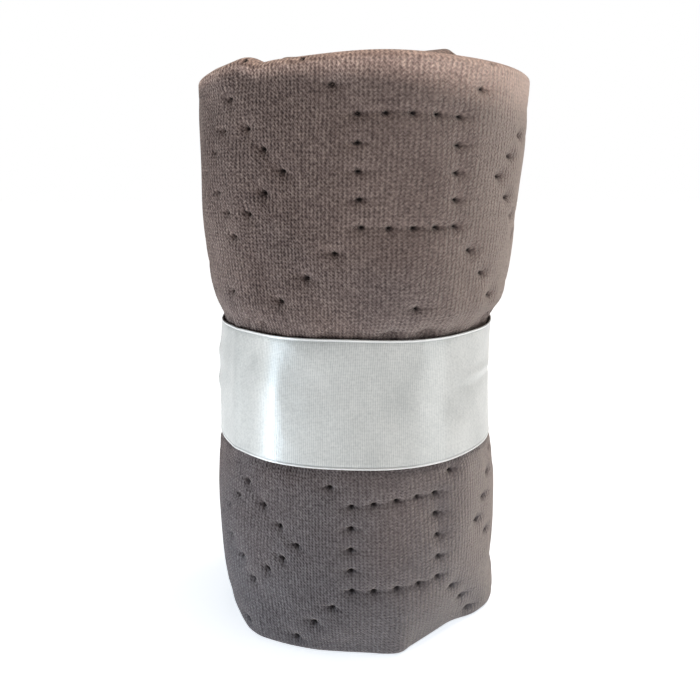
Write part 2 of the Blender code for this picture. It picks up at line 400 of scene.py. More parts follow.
def share_of(turn, across):
    """How far out a point lies, from 0 at the axis to about 1 at the wall, thinner towards the loose edge."""
    thinning = NOSE_THINNING * eased((turn - TURNS + NOSE_TURN) / NOSE_TURN)
    return (turn + across * (1 - thinning)) / (TURNS + CORE_TURNS)


def reach_of(turn, across, height):
    """Distance from the axis, before the depth is stretched: half the width times the share, and lumps."""
    share = share_of(turn, across)
    half_width = read_column(WALL_SECTIONS, 1, height / MM) * MM
    return half_width * share + lumps(WALL_LUMPS, azimuth_of(turn), height) * np.minimum(share, 1.0) ** 3


def at_reach(azimuth, reach, height):
    """Points (x, y, z) at a distance from the leaning axis, along an azimuth, on near-round sections."""
    angle = np.radians(azimuth)
    lean = read_column(WALL_SECTIONS, 2, height / MM) * MM
    x = AXIS_X + lean + reach * np.cos(angle)
    y = AXIS_Y + DEPTH_RATIO * reach * np.sin(angle)
    return np.stack(np.broadcast_arrays(x, y, height), axis=-1)


def rise(turn):
    """How far a turn stands above the outer one at both ends: eased towards the core, with a small wave."""
    inward = (TURNS - RISE_STARTS_TURNS_IN - turn) / RISE_OVER_TURNS
    wave = RIM_WAVE * eased(inward * 2) * np.sin(2 * np.pi * RIM_WAVES_PER_TURN * turn)
    return CORE_RISE * eased(inward) + wave


def upper_rim(turn):
    """Height of the top of a turn's crown."""
    lift = 0.0
    for at, turns_in, reach, high in RIM_LUMPS:
        from_edge = 360 * (turn - TURNS + turns_in) + (LOOSE_EDGE_DEG - at) % 360
        lift = lift + high * np.exp(-((from_edge / reach) ** 2))
    return (read_column(UPPER_RIM, 1, turned(azimuth_of(turn))) + lift) * MM + rise(turn)


def lower_rim(turn):
    """Height of the foot of a turn above the floor."""
    azimuth = azimuth_of(turn)
    bells = (high * np.exp(-((turned(azimuth - at) / reach) ** 2)) for at, reach, high in LOWER_RIM_LIFTS)
    lift = sum(bells)
    return np.maximum(lift - RIM_TOUCHES_BELOW, 0.0) * MM + np.maximum(rise(turn), 0.0)


def is_dot(column, row):
    """True where the quilting has a spot weld: squares, diamonds between them, and joining diagonals."""
    across = np.abs((column + HALF_REPEAT) % REPEAT - HALF_REPEAT)
    up = np.abs((row + HALF_REPEAT) % REPEAT - HALF_REPEAT)
    square = np.maximum(across, up) == SQUARE_HALF
    diagonal = (across == up) & (across >= DIAGONAL_STEPS[0]) & (across <= DIAGONAL_STEPS[1])
    beside = HALF_REPEAT - across + up == DIAMOND_HALF
    above = across + HALF_REPEAT - up == DIAMOND_HALF
    between = 2 * HALF_REPEAT - across - up == DIAMOND_HALF
    return square | diagonal | beside | above | between


def stretched(column, row):
    """Grid places as the winding has stretched them.

    Each pull of the table adds (shift + slopes . offset) exp(-d^2 / reach^2), with d the distance in steps.
    """
    new_column, new_row = column.astype(float), row.astype(float)
    for at_column, at_row, *pull in STRETCHES:
        right, up = column - at_column, row - at_row
        near = np.exp(-(right**2 + up**2) / STRETCH_REACH**2)
        new_column = new_column + near * (pull[0] + pull[1] * right + pull[2] * up)
        new_row = new_row + near * (pull[3] + pull[4] * right + pull[5] * up)
    return new_column, new_row


def drawn_grid(column, row):
    """Columns and rows of the outer face as stretched, with its borders and the inner turns left in place."""
    new_column, new_row = stretched(column, row)
    fade = eased(np.minimum(row - FIRST_ROW, LAST_ROW - row) / 2) * eased(column / BORDER_STEPS)
    fade = fade * eased((COLUMNS_PER_TURN - column) / BORDER_STEPS)
    new_column = np.where(column >= 0, column + (new_column - column) * fade, column)
    new_row = np.where(column >= 0, row + (new_row - row) * fade, row)
    return new_column, new_row


def row_height(row, low, high):
    """Height of a row of the wall: even steps below, under and above the ribbon, fitted between the rims."""
    foot, head = low + FOOT, high - HEAD
    below = foot + (RIBBON_LOW - foot) * row / ROWS_BELOW
    below = np.where(row < 0, foot - FOOT * row / FIRST_ROW, below)
    under = RIBBON_LOW + RIBBON_WIDTH * (row - ROWS_BELOW) / ROWS_UNDER_RIBBON
    above = RIBBON_HIGH + STEP_ABOVE * (row - ROWS_BELOW - ROWS_UNDER_RIBBON)
    above = np.minimum(above, head - LEAST_STEP * (WALL_ROWS - row))
    above = np.where(row > WALL_ROWS, head + HEAD * (row - WALL_ROWS) / (LAST_ROW - WALL_ROWS), above)
    upper = np.where(row <= ROWS_BELOW + ROWS_UNDER_RIBBON, under, above)
    return np.where(row <= ROWS_BELOW, below, upper)


def winding_columns():
    """Numbers of the mesh lines along the winding: 0 and up on the outer turn, below 0 on the inner ones."""
    fine = np.concatenate([k + FINE_STEPS for k in range(COLUMNS_PER_TURN)] + [[COLUMNS_PER_TURN]])
    count = int(FIRST_OUTER_TURN * INNER_COLUMNS_PER_TURN)
    inner = np.linspace(-FIRST_OUTER_TURN * COLUMNS_PER_TURN, 0, count, endpoint=False)
    return np.concatenate([inner, fine])


def wall_rows():
    """Row numbers of the outer face's mesh lines: close near the welds, and wide apart under the ribbon."""
    ribbon = range(ROWS_BELOW, ROWS_BELOW + ROWS_UNDER_RIBBON)
    rows = [row + (COARSE_STEPS if row in ribbon else FINE_STEPS) for row in range(WALL_ROWS)]
    foot = FINE_STEPS[FINE_STEPS > 1 + FIRST_ROW] - 1
    head = FINE_STEPS[FINE_STEPS < LAST_ROW - WALL_ROWS] + WALL_ROWS
    return np.concatenate([[FIRST_ROW], foot, *rows, head, [LAST_ROW]])


def half_round(start, end, depth, count, fine_start=False):
    """Places across, and drops from a fold's top, along a half round without its two ends."""
    step = np.arange(1, count) / count
    angle = np.pi * (step**1.7 if fine_start else step)
    middle, half = (start + end) / 2, (end - start) / 2
    return middle - half * np.cos(angle), depth * (1 - np.sin(angle) ** 0.8)


def folded_profile(low, high, face_heights):
    """The sheet's section for columns of the winding, as (place across, height) arrays of columns by points.

    The third value is the number of points in each of its eleven pieces.
    In order: up the wrong side of the middle panel, its edge, down its right side, round the lower fold,
    up the outer face, over the upper fold, down the inside panel, its edge, and back up and down inside
    the fold.
    """
    inner, outer = STACK_SHARE, 1 - STACK_SHARE
    middle_in, middle_out = 0.5 - STACK_SHARE / 2, 0.5 + STACK_SHARE / 2
    pieces = []

    def panel(across, start, end, count):
        shares = np.linspace(0, 1, count)
        pieces.append((np.full(count, across), start[:, None] + (end - start)[:, None] * shares))

    def fold(start, end, depth, edge, upwards, count, fine_start=False):
        across, drop = half_round(start, end, depth, count, fine_start)
        pieces.append((across, edge[:, None] - upwards * drop))

    middle_edge = high - MIDDLE_EDGE_BELOW_RIM
    inside_edge = low + INSIDE_EDGE_HEIGHT
    lower_inside = low + INNER_FOLD_DEPTH + LOWER_CROWN_DROP
    upper_inside = high - INNER_FOLD_DEPTH - UPPER_CROWN_DROP
    wall_low, wall_high = low + LOWER_CROWN_DROP, high - UPPER_CROWN_DROP
    panel(middle_out, lower_inside, middle_edge - HEM_ROUND, 5)
    fold(middle_out, middle_in, HEM_ROUND, middle_edge, 1, 4)
    panel(middle_in, middle_edge - HEM_ROUND, wall_low, 6)
    fold(middle_in, 1.0, LOWER_CROWN_DROP, low, -1, 9)
    pieces.append((np.ones(face_heights.shape[1]), face_heights))
    fold(1.0, 0.0, UPPER_CROWN_DROP, high, 1, 22, fine_start=True)
    panel(0.0, wall_high, inside_edge + HEM_ROUND, 6)
    fold(0.0, inner, HEM_ROUND, inside_edge, -1, 4)
    panel(inner, inside_edge + HEM_ROUND, upper_inside, 5)
    fold(inner, outer, INNER_FOLD_ROUND, upper_inside + INNER_FOLD_ROUND, 1, 5)
    panel(outer, upper_inside, lower_inside, 5)
    counts = [height.shape[1] for _, height in pieces]
    across = np.concatenate([np.broadcast_to(place, (len(low), len(place))) for place, _ in pieces], axis=1)
    return across, np.concatenate([height for _, height in pieces], axis=1), counts


def end_cap(counts):
    """Small faces that close one end of the folded sheet, as arrays of profile points.

    The section is a band with a right and a wrong side, each in parts that lie side by side. A point's
    place along the band is its part's number plus its share of the part, and the sides are joined like a
    zip by place.
    """
    starts = np.cumsum([0, *counts])
    part = [np.arange(start, end) for start, end in zip(starts[:-1], starts[1:])]
    right_side = {0: part[2], 1: part[3], 2: part[4], 3: part[5], 4: part[6]}
    wrong_side = {0: part[0][::-1], 2: part[10][::-1], 3: part[9][::-1], 4: part[8][::-1]}
    right, wrong = (np.concatenate(list(side.values())) for side in (right_side, wrong_side))
    right_at, wrong_at = (
        np.concatenate([k + (np.arange(len(p)) + 0.5) / len(p) for k, p in side.items()])
        for side in (right_side, wrong_side)
    )
    facing_wrong = np.maximum(np.searchsorted(wrong_at, right_at[1:]) - 1, 0)
    facing_right = np.maximum(np.searchsorted(right_at, wrong_at[1:]) - 1, 0)
    zipped = [*np.stack([right[:-1], right[1:], wrong[facing_wrong]], axis=-1)]
    zipped += [*np.stack([wrong[1:], wrong[:-1], right[facing_right]], axis=-1)]
    return zipped + [np.r_[wrong[0], part[1], right[0]], np.r_[right[-1], part[7], wrong[-1]]]


def weld_relief(column, row, azimuth, height, reach):
    """How far the outer face is drawn in at the welds, and a 0 to 1 mask of the welds themselves.

    Each weld gives a narrow pit, a round dimple and a pucker along its row, all bells of the distance
    along the cloth, exp(-d^2 / r^2). Towards the left of the front the cloth is dragged, and pits and
    puckers slope.
    """
    ribbon = range(ROWS_BELOW, ROWS_BELOW + ROWS_UNDER_RIBBON)
    rows = np.array([k for k in range(WALL_ROWS) if k not in ribbon])
    grid_column, grid_row = np.meshgrid(np.arange(1, COLUMNS_PER_TURN), rows, indexing="ij")
    chosen = is_dot(grid_column - SQUARE_CENTRE_COLUMN, grid_row - SQUARE_CENTRE_ROW)
    chosen &= (grid_column != MISSING_WELD[0]) | (grid_row != MISSING_WELD[1])
    drawn_in = np.zeros(column.shape)
    weld = np.zeros(column.shape)
    for dot_column, dot_row in zip(grid_column[chosen], grid_row[chosen]):
        i = int(np.argmin(np.abs(column[:, 0] - dot_column)))
        j = int(np.argmin(np.abs(row[0] - dot_row)))
        window = tuple(slice(max(k - WELD_WINDOW, 0), k + WELD_WINDOW + 1) for k in (i, j))
        along = np.radians(turned(azimuth[window] - azimuth[i, j])) * reach[i, j]
        up = height[window] - height[i, j]
        from_sloped = (turned(azimuth[i, j]) - SLOPED_AZIMUTH) / SLOPED_REACH
        slope = PUCKER_SLOPE * float(np.exp(-(from_sloped**2)))
        level = (up + slope * along) / np.hypot(1, slope)
        length = (along - slope * up) / np.hypot(1, slope)
        from_faded = turned(azimuth[i, j] - FADED_AZIMUTH) / FADED_REACH
        strength = 1 - FADING * float(np.exp(-(from_faded**2)))
        pit = np.exp(-((length / WELD_HALF_LENGTH) ** 2) - (level / WELD_HALF_HEIGHT) ** 2) * strength
        pucker = np.exp(-((length / PUCKER_HALF_LENGTH) ** 2) - (level / PUCKER_HALF_HEIGHT) ** 2)
        pucker = pucker * strength
        drawn_in[window] -= WELD_DEPTH * pit + PUCKER_DEPTH * pucker
        drawn_in[window] -= DIMPLE_DEPTH * strength * np.exp(-(along**2 + up**2) / DIMPLE_RADIUS**2)
        weld[window] = np.maximum(weld[window], pit)
    return drawn_in, weld


def rim_welds(azimuth, height, reach):
    """A 0 to 1 mask of the welds on the crown of the upper rim: round bells of the distance to each."""
    mask = np.zeros(reach.shape)
    for at, level in RIM_WELDS:
        along = np.radians(turned(azimuth - at)) * reach
        mask = np.maximum(mask, np.exp(-(along**2 + (height - level * MM) ** 2) / RIM_WELD_RADIUS**2))
    return mask


def painted_rim_highlight(azimuth, below_rim, across):
    """0 to 1 for a painted highlight along the upper fold, where light catches the rim: farther down towards
    the right.
    """
    right = np.exp(-((turned(azimuth - PAINTED_RIM_HIGHLIGHT_AZIMUTH) / PAINTED_RIM_HIGHLIGHT_REACH) ** 2))
    depth = PAINTED_RIM_HIGHLIGHT_LEFT + (PAINTED_RIM_HIGHLIGHT_RIGHT - PAINTED_RIM_HIGHLIGHT_LEFT) * right
    return eased(1.15 - below_rim / depth) * eased(across / 0.5)


def soft_relief(azimuth, height):
    """Slow waves of the cloth, short gathers along the ribbon's edges, and the soft folds of the table."""
    angle = np.radians(azimuth)
    slow = sum(
        depth * np.sin(waves * angle + height / (climb * MM) + phase)
        for depth, waves, climb, phase in SLOW_WAVES
    )
    quick = QUICK_WAVE * np.sin(23 * angle + height / (7 * MM)) * np.sin(height / (11 * MM) + 3 * angle)
    from_ribbon = np.maximum(np.maximum(RIBBON_LOW - height, height - RIBBON_HIGH), 0.0)
    gather = np.sin(GATHERS_PER_TURN * angle + 2 * np.sin(3 * angle)) * np.exp(-from_ribbon / GATHER_REACH)
    return (slow + quick) * MM + GATHER_DEPTH * gather + lumps(SOFT_FOLDS, azimuth, height)


def grid_faces(columns, points):
    """Quads of a grid whose columns are closed loops of points, as an array of vertex numbers."""
    i, j = np.meshgrid(np.arange(columns - 1), np.arange(points), indexing="ij")
    after = (j + 1) % points
    here, ahead = i * points, (i + 1) * points
    return np.stack([here + j, ahead + j, ahead + after, here + after], axis=-1).reshape(-1, 4)


def mesh_object(name, vertices, quads, caps=()):
    """A smooth object at the origin with these vertices, quads and end caps."""
    faces = quads.tolist() + [list(map(int, cap)) for cap in caps]
    data = bpy.data.meshes.new(name)
    data.from_pydata(vertices.reshape(-1, 3), [], faces)
    data.update()
    data.shade_smooth()
    piece = bpy.data.objects.new(name, data)
    bpy.context.scene.collection.objects.link(piece)
    return piece


def add_uv(piece, u, v):
    """A UV map called cloth that holds each vertex's place on the cloth, in metres."""
    layer = piece.data.uv_layers.new(name="cloth")
    corner = np.empty(len(piece.data.loops), dtype=np.int32)
    piece.data.loops.foreach_get("vertex_index", corner)
    places = np.stack([u[corner], v[corner]], axis=-1)
    layer.data.foreach_set("uv", places.astype(np.float32).ravel())


def add_values(piece, name, values):
    """A number for each vertex, that a material reads by its name."""
    layer = piece.data.attributes.new(name, "FLOAT", "POINT")
    layer.data.foreach_set("value", values.astype(np.float32).ravel())


def hemmed(turn_line, across):
    """Places across the stack, with its layers thinned to a rounded hem at both ends of the winding."""
    from_end = np.minimum(turn_line[-1] - turn_line, turn_line - turn_line[0]) * 2 * np.pi * WAIST_RADIUS
    plump = HEM_THINNEST + (1 - HEM_THINNEST) * np.sqrt(np.clip(from_end / (2 * HEM_ROUND), 0, 1))
    in_layer = [across > 0.5 + HALF_MIDDLE, across > 0.5 - HALF_MIDDLE]
    centre = np.select(in_layer, [1 - STACK_SHARE / 2, 0.5], STACK_SHARE / 2)
    return centre + (across - centre) * plump[:, None]


def near_loose_edge(turn):
    """0 to 1 over the last steps before the mat's loose edge."""
    return eased((turn - TURNS) * COLUMNS_PER_TURN / BORDER_STEPS + 1) * (turn > FIRST_OUTER_TURN)


def fades_in(across, band):
    """0 to 1 over a band across the stack, given as where it starts and how wide it is."""
    return eased((across - band[0]) / band[1])


def between(height, low, high, fade):
    """1 between two heights and 0 beyond them, eased over a distance past each."""
    return eased((high + fade - height) / fade) * eased((height - low + fade) / fade)


def build_mat():
    """The mat as one closed sheet: the folded profile carried along the winding, with its outer relief."""
    column, row = winding_columns(), wall_rows()
    column_grid, row_grid = np.meshgrid(column, row, indexing="ij")
    drawn_column, drawn_row = drawn_grid(column_grid, row_grid)

    # The folded profile at each mesh line of the winding. The slice face is the outer face in it.
    turn_line = FIRST_OUTER_TURN + column / COLUMNS_PER_TURN
    low, high = lower_rim(turn_line), upper_rim(turn_line)
    wall_low, wall_high = low + LOWER_CROWN_DROP, high - UPPER_CROWN_DROP
    heights = row_height(drawn_row, wall_low[:, None], wall_high[:, None])
    across, height, counts = folded_profile(low, high, heights)
    turn = np.broadcast_to(turn_line[:, None], across.shape).copy()
    first = int(np.argmax(across[0] == 1.0))
    face = slice(first, first + len(row))
    turn[:, face] = FIRST_OUTER_TURN + drawn_column / COLUMNS_PER_TURN
    across = hemmed(turn_line, across)

    # Its place, with a loose edge that isn't ruler-straight.
    wave = sum(share * np.sin(height / (climb * MM) + phase) for share, climb, phase in EDGE_WAVE_PARTS)
    drawn_back = EDGE_WAVE * (wave - EDGE_WAVE_CREST) / (2 * np.pi * EDGE_RADIUS)
    turn = turn + near_loose_edge(turn) * drawn_back
    azimuth = azimuth_of(turn)
    reach = reach_of(turn, across, height)

    # The relief of the outer turn, calmer at the rims and gone at its two ends.
    outside = eased((turn - FIRST_OUTER_TURN) * COLUMNS_PER_TURN / RELIEF_STARTS_OVER)
    outside = outside * eased((TURNS - turn) * COLUMNS_PER_TURN / RELIEF_ENDS_OVER)
    outer_part = fades_in(across, RELIEF_BAND)
    skin = outer_part * outside
    calm = eased((height - low[:, None]) / CALM_BELOW) * eased((high[:, None] - height) / CALM_ABOVE)
    reach = reach + soft_relief(azimuth, height) * skin * (CALMER_AT_RIMS + (1 - CALMER_AT_RIMS) * calm)
    foot = read_column(FOOT_SHAPE, 1, turned(azimuth)) * MM * np.exp(-((height / FOOT_SHAPE_HEIGHT) ** 2))
    reach = reach + foot * outside * fades_in(across, FOOT_BAND)
    weld = np.zeros(reach.shape)
    drawn_in, weld[:, face] = weld_relief(
        column_grid, row_grid, azimuth[:, face], height[:, face], reach[:, face]
    )

    # The ribbon presses the face in, and the loose edge more.
    pressed = between(height, RIBBON_LOW - PRESSED_BELOW, RIBBON_HIGH, PRESSED_FADE)
    reach = reach - PRESSED_UNDER_RIBBON * pressed * outer_part * (turn > FIRST_OUTER_TURN + 0.05)
    beside = between(height, RIBBON_LOW, RIBBON_HIGH, BESIDE_RIBBON)
    reach = reach - EDGE_PRESSED * near_loose_edge(turn) * beside * fades_in(across, EDGE_BAND)
    reach[:, face] += drawn_in * (column_grid > 0)
    on_rim = rim_welds(azimuth, height, reach) * fades_in(across, RIM_WELD_BAND) * outside
    weld = np.maximum(weld, on_rim)
    reach = reach - WELD_DEPTH * on_rim
    vertices = at_reach(azimuth, reach, height)

    columns, points = across.shape
    cap = end_cap(counts)
    caps = cap + [corners[::-1] + (columns - 1) * points for corners in cap]
    piece = mesh_object("mat", vertices, grid_faces(columns, points), caps)

    # The cloth's own lengths: along the middle of the face, and round the profile.
    middle = vertices[:, first + len(row) // 2]
    along = np.cumsum(np.r_[0, np.linalg.norm(np.diff(middle, axis=0), axis=-1)])
    step = np.linalg.norm(np.roll(vertices, -1, axis=1) - vertices, axis=-1)
    up = np.cumsum(step[-1]) - step[-1]
    u = np.broadcast_to(along[:, None], across.shape).copy()
    u[:, face] += (turn[:, face] - turn_line[:, None]) * 2 * np.pi * FACE_RADIUS
    v = np.broadcast_to(up[None, :], across.shape).copy()
    v[:, face] = v[-1, first] + height[:, face] - height[:, [first]]
    add_uv(piece, u.ravel(), v.ravel())
    add_values(piece, "weld", weld)
    # The painted highlight along the upper fold, weaker on the inner turns.
    highlight_share = INNER_RIM_HIGHLIGHT + (1 - INNER_RIM_HIGHLIGHT) * eased((turn - FIRST_OUTER_TURN) * 6)
    add_values(piece, "painted_rim_highlight", painted_rim_highlight(azimuth, high[:, None] - height, across) * highlight_share)
    return piece


def hull_reach(height, azimuth):
    """Reach of a tape pulled tight round the wall at a height: the farthest of the chords past each azimuth.

    The wall is sampled at each degree, with the loose edge as one sample. For each azimuth, every pair of
    samples within 60 degrees on its two sides gives a chord, and the tape lies on the farthest of them.
    """
    sample = np.arange(-180, 180, 1.0)
    turn = TURNS - ((LOOSE_EDGE_DEG - sample) % 360) / 360
    wall = reach_of(turn, 1.0, np.full(sample.shape, height))
    away = np.arange(0, CHORD_DEG + 1, 1.0)
    before, after = np.meshgrid(away, away, indexing="ij")
    keep = before + after > 0
    before, after = before[keep], after[keep]
    at_before = np.interp(turned(azimuth[:, None] - before), sample, wall, period=360)
    at_after = np.interp(turned(azimuth[:, None] + after), sample, wall, period=360)
    b, a = np.radians(before), np.radians(after)
    chord = at_before * at_after * np.sin(a + b) / (at_before * np.sin(b) + at_after * np.sin(a))
    return chord.max(axis=1)


def taut_profile(levels, share):
    """Reaches of the ribbon at shares of its width: straight across hollows, and on a cubic through levels.

    levels holds the reaches at even heights, one column for each azimuth. Each is raised to the farthest of
    the straight lines between any two of the others on its two sides, and a cubic Hermite curve joins them.
    """
    count = len(levels)
    bridged = levels.copy()
    for low in range(count):
        for high in range(low + 2, count):
            part = ((np.arange(low, high + 1) - low) / (high - low))[:, None]
            line = levels[low] * (1 - part) + levels[high] * part
            bridged[low : high + 1] = np.maximum(bridged[low : high + 1], line)
    slopes = np.gradient(bridged, axis=0)
    which = np.minimum((share * (count - 1)).astype(int), count - 2)
    t = (share * (count - 1) - which)[:, None]
    return (
        (2 * t**3 - 3 * t**2 + 1) * bridged[which]
        + (t**3 - 2 * t**2 + t) * slopes[which]
        + (3 * t**2 - 2 * t**3) * bridged[which + 1]
        + (t**3 - t**2) * slopes[which + 1]
    ).T


def build_ribbon():
    """The ribbon as a closed thin strip: a tight tape with selvedges, creases and a lapped end."""
    azimuth = RIBBON_START_DEG + np.linspace(0, 360 + RIBBON_LAP_DEG, RIBBON_COLUMNS)
    edge = SELVEDGE_WIDTH / RIBBON_WIDTH
    selvedge_rows = [0, edge * 0.3, edge * 0.7, edge, edge * 1.25]
    share = np.concatenate([selvedge_rows, np.linspace(edge * 1.6, 0.5, RIBBON_ROWS // 2)])
    share = np.unique(np.concatenate([share, 1 - share]))
    foot = RIBBON_LOW - RIBBON_DROP
    heights = foot + RIBBON_WIDTH * np.linspace(0, 1, RIBBON_LEVELS)
    levels = np.stack([hull_reach(level, azimuth) for level in heights])
    reach = taut_profile(levels, share)
    angle = np.radians(azimuth)[:, None]
    tilt = RIBBON_TILT * WAIST_RADIUS * np.cos(angle)
    sway = sum(depth * MM * np.sin(waves * angle + phase) for depth, waves, phase in RIBBON_SWAY)
    height = foot + RIBBON_WIDTH * share[None, :] + tilt + sway
    from_edge = np.minimum(share, 1 - share)[None, :] * RIBBON_WIDTH
    lapped = eased((azimuth - RIBBON_START_DEG - LAP_CLIMB_DEG) / LAP_CLIMB_OVER_DEG)[:, None]
    ripple = sum(depth * MM * np.sin(waves * angle + share * slant) for depth, waves, slant in RIBBON_RIPPLES)
    fine_ripple = np.sin(29 * angle + 4 * np.sin(share * 3)) * np.sin(np.pi * share)
    ripple = ripple + FINE_RIPPLE * fine_ripple
    selvedge = np.exp(-(((from_edge - SELVEDGE_WIDTH * 0.45) / (SELVEDGE_WIDTH * 0.45)) ** 4))
    groove = np.exp(-(((from_edge - SELVEDGE_WIDTH * 1.15) / (SELVEDGE_WIDTH * 0.2)) ** 2))
    base = reach + RIBBON_GAP + lapped * (RIBBON_THICKNESS + RIBBON_GAP)
    base = base + ripple + lumps(RIBBON_CREASES, azimuth[:, None], height)
    face = base + RIBBON_THICKNESS + SELVEDGE_PROUD * selvedge - SELVEDGE_GROOVE * groove
    outer = at_reach(azimuth[:, None], face, height)
    inner = at_reach(azimuth[:, None], base, height)
    vertices = np.concatenate([outer, inner[:, ::-1]], axis=1)
    columns, points = vertices.shape[:2]
    rung = np.arange(points // 2 - 1)
    cap = np.stack([rung, rung + 1, points - 2 - rung, points - 1 - rung], axis=-1)
    caps = [*cap[:, ::-1], *(cap + (columns - 1) * points)]
    piece = mesh_object("ribbon", vertices, grid_faces(columns, points)[:, ::-1], caps)
    u = np.broadcast_to(angle * EDGE_RADIUS, (columns, points))
    v = np.broadcast_to(np.concatenate([share, share[::-1]]) * RIBBON_WIDTH, (columns, points))
    add_uv(piece, u.ravel(), v.ravel())
    for name, line in (("selvedge", selvedge[0]), ("groove", groove[0])):
        add_values(piece, name, np.tile(np.concatenate([line, line[::-1]]), columns))
    return piece


class Nodes:
    """Adds shader nodes to a material and joins them: a short way to write a node tree."""

    def __init__(self, name):
        self.material = bpy.data.materials.new(name)
        self.material.use_nodes = True
        self.tree = self.material.node_tree
        self.shader = self.tree.nodes["Principled BSDF"]

    def add(self, kind, settings=None, **inputs):
        """A node with its settings, and with its inputs given as values or as other nodes' sockets."""
        node = self.tree.nodes.new("ShaderNode" + kind)
        for key, value in (settings or {}).items():
            setattr(node, key, value)
        for key, value in inputs.items():
            self.join(node, key.replace("_", " "), value)
        return node

    def join(self, node, key, value):
        """Sets an input, by its name or as n and its number, to a value or to another node's socket."""
        numbered = key[0] == "n" and key[1:].isdigit()
        socket = node.inputs[int(key[1:]) if numbered else key]
        if isinstance(value, bpy.types.NodeSocket):
            self.tree.links.new(value, socket)
        else:
            socket.default_value = value

    def maths(self, operation, first, second=0.0):
        """One operation on two numbers."""
        return self.add("Math", {"operation": operation}, n0=first, n1=second).outputs[0]

    def weighted(self, *terms):
        """The sum of numbers times their shares."""
        total = self.maths("MULTIPLY", *terms[0])
        for value, share in terms[1:]:
            total = self.maths("ADD", total, self.maths("MULTIPLY", value, share))
        return total

    def noise(self, vector, scale, detail=2.0):
        """Noise from 0 to 1 at a scale, in cycles for each metre."""
        return self.add("TexNoise", Vector=vector, Scale=scale, Detail=detail).outputs["Fac"]

    def blend(self, share, first, second):
        """A colour between two others."""
        node = self.add("Mix", {"data_type": "RGBA"})
        self.join(node, "n0", share)
        self.join(node, "n6", first)
        self.join(node, "n7", second)
        return node.outputs[2]

    def tint(self, first, second):
        """One colour multiplied by another, and kept below 1."""
        settings = {"data_type": "RGBA", "blend_type": "MULTIPLY", "clamp_result": True}
        node = self.add("Mix", settings, n0=1.0)
        self.join(node, "n6", first)
        self.join(node, "n7", second)
        return node.outputs[2]

    def ramp(self, value, stops):
        """A colour read from stops, each a place from 0 to 1 and its colour."""
        node = self.add("ValToRGB", Fac=value)
        steps = node.color_ramp.elements
        while len(steps) < len(stops):
            steps.new(0.5)
        for step, (at, colour) in zip(steps, stops):
            step.position, step.color = at, colour
        return node.outputs[0]

    def spread(self, value, low, high, to_low=0.0, to_high=1.0):
        """A number's range brought to another range, and kept in it."""
        node = self.add("MapRange", n0=value, n1=low, n2=high, n3=to_low, n4=to_high)
        return node.outputs[0]


VELOUR_GAP = (0.045, 0.036, 0.037, 1)
VELOUR_DARK = (0.118, 0.093, 0.090, 1)
VELOUR_MID = (0.200, 0.163, 0.155, 1)
VELOUR_LIGHT = (0.400, 0.345, 0.320, 1)
VELOUR_WELD = (0.020, 0.016, 0.017, 1)
# How much the painted highlight lightens the velour along the upper fold.
PAINTED_RIM_HIGHLIGHT = (2.90, 2.75, 2.60, 1)
# Painted light tints: cool light at the foot and the waist, warm light at the rim.
FOOT_PAINTED_COOL_LIGHT = (0.91, 1.03, 1.14, 1)
WAIST_PAINTED_COOL_LIGHT = (0.97, 1.01, 1.07, 1)
RIM_PAINTED_WARM_LIGHT = (1.05, 0.965, 0.92, 1)
VELOUR_TONES = ((0.0, VELOUR_GAP), (0.3, VELOUR_DARK), (0.55, VELOUR_MID), (1.0, VELOUR_LIGHT))
# Painted light by height, cool towards the foot and warm towards the rim, as shares of the roll's 0.24 m, and
# how far a noise shifts their heights.
PAINTED_LIGHT_BY_HEIGHT = ((0.0, FOOT_PAINTED_COOL_LIGHT), (0.12, FOOT_PAINTED_COOL_LIGHT), (0.3, WAIST_PAINTED_COOL_LIGHT), (0.65, RIM_PAINTED_WARM_LIGHT))
PAINTED_LIGHT_TOP = 0.24
PAINTED_LIGHT_SHIFT = 0.03

WALES_PER_METRE = 615.0
COURSES_PER_METRE = 770.0
STITCH_SLANT = 1.6
# Noise that makes wales and stitches wander, in radians, and its cycles for each metre.
WALE_WANDER, WALE_WANDER_SCALE = 4.5, 70.0
STITCH_WANDER, STITCH_WANDER_SCALE = 7.0, 160.0
SPECK_SCALE, CLUMP_SCALE, PATCH_SCALE, NAP_SCALE, PAINTED_LIGHT_NOISE_SCALE = 900.0, 260.0, 80.0, 24.0, 17.0
# Shares of the parts of the fine and the broad tone, and the middle that each is counted from.
WALE_SHARE, STITCH_SHARE, SPECK_SHARE, FINE_MIDDLE = 0.28, 0.24, 0.50, 0.54
NAP_SHARE, PATCH_SHARE, CLUMP_SHARE, BROAD_MIDDLE = 0.36, 0.20, 0.12, 0.34
PILE_LEAN = 0.42

SATIN_WHITE = (0.83, 0.84, 0.82, 1)
SATIN_SHADE = (0.54, 0.56, 0.55, 1)
# Painted highlight on the raised selvedges, and painted shade in the groove inside them.
SATIN_SELVEDGE_HIGHLIGHT = (0.96, 0.97, 0.96, 1)
SATIN_GROOVE_SHADE = (0.56, 0.58, 0.58, 1)
PICKS_PER_METRE = 1150.0
ENDS_PER_METRE = 1700.0

FLOOR_HALF = 6.0
FLOOR_TONES = ((0.90, 0.90, 0.90, 1), (0.92, 0.92, 0.92, 1))
FLOOR_GLOW_NEAR = (0.72, 0.76, 0.80, 1)
FLOOR_GLOW_FAR = (1.03, 1.02, 1.01, 1)
FLOOR_NEAR, FLOOR_FAR = 0.12, 1.5


def leaning_normal(n, lean):
    """The surface's normal turned towards the way the pile is brushed, round the roll: N + lean (Z x N)."""
    normal = n.add("NewGeometry").outputs["Normal"]
    round_roll = n.add("VectorMath", {"operation": "CROSS_PRODUCT"}, n0=(0, 0, 1), n1=normal).outputs[0]
    leaned = n.add("VectorMath", {"operation": "MULTIPLY_ADD"}, n0=round_roll, n1=(lean,) * 3, n2=normal)
    return n.add("VectorMath", {"operation": "NORMALIZE"}, n0=leaned.outputs[0]).outputs[0]


